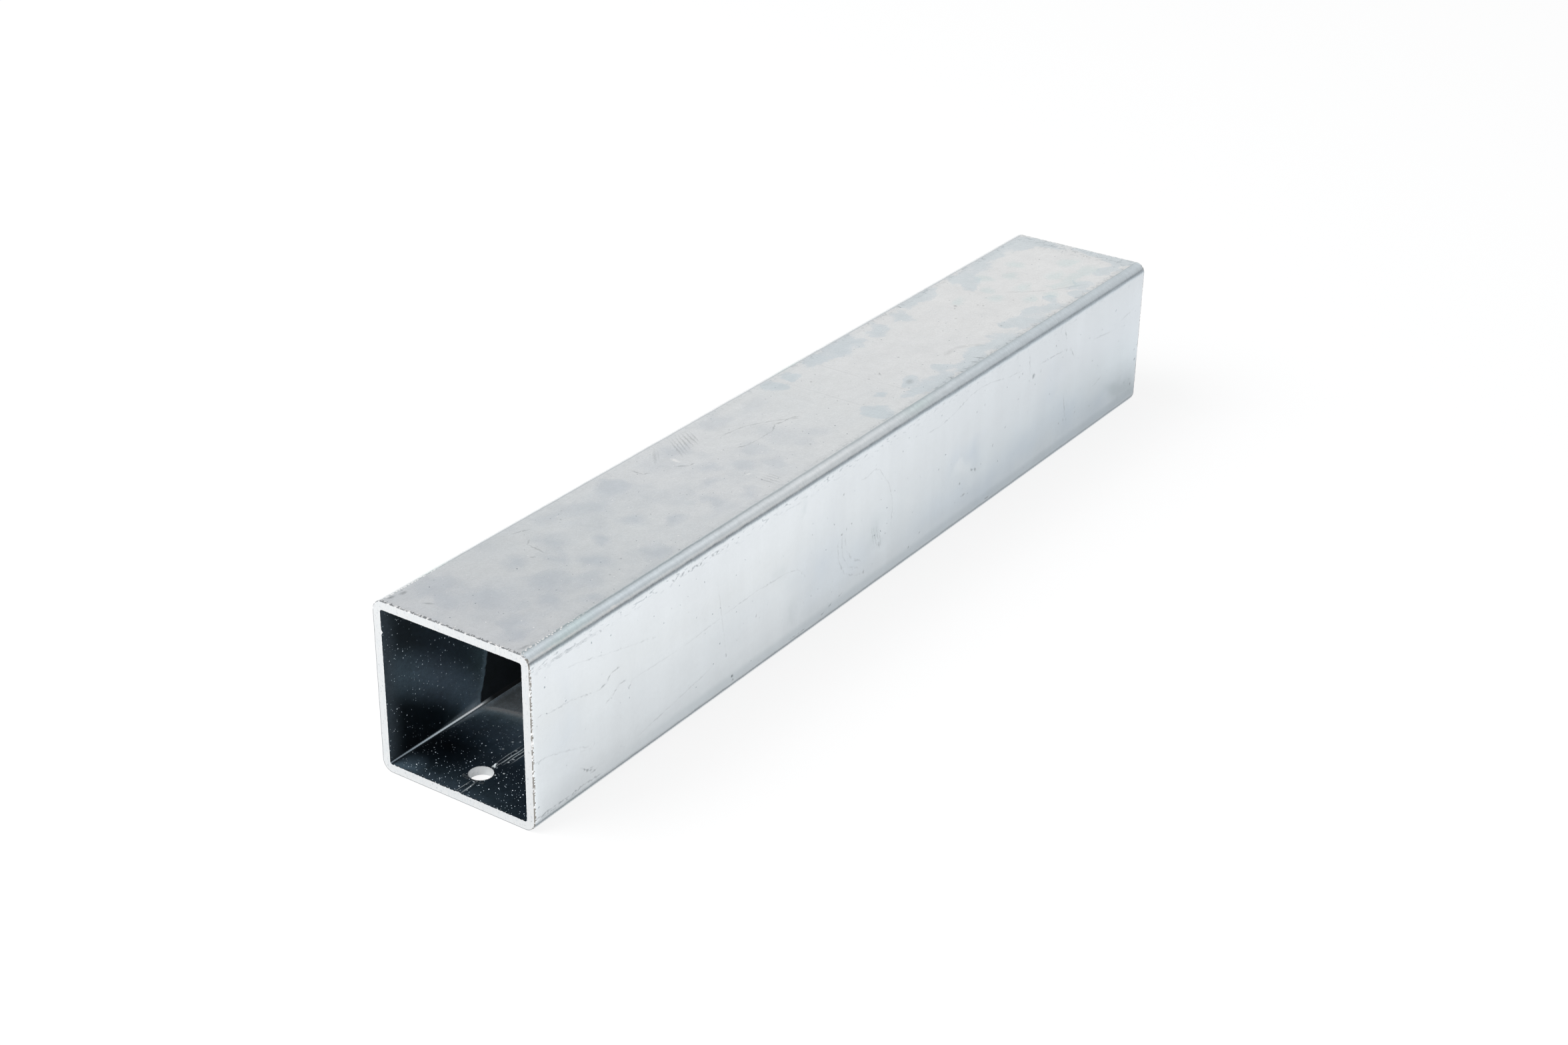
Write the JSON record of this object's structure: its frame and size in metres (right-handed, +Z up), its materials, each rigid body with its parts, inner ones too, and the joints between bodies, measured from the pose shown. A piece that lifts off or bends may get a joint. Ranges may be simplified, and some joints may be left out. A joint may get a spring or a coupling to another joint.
{
  "type": "square metal tube",
  "caption": "Length of square galvanised steel tube with rounded corners, open at both ends, with a bolt hole through its lower wall near one end.",
  "frame": {"origin": "middle of the underside, halfway along the tube", "axes": "+X along the tube, away from the end with the hole; +Z up, out of the wall opposite the hole"},
  "size_m": [0.32, 0.05, 0.05],
  "materials": {
    "galvanised_steel": "hot-dip galvanised mill finish, matte to satin, with fine scratches and bare cut ends"
  },
  "bodies": {
    "root": {"tube": "galvanised_steel"}
  },
  "joints": []
}
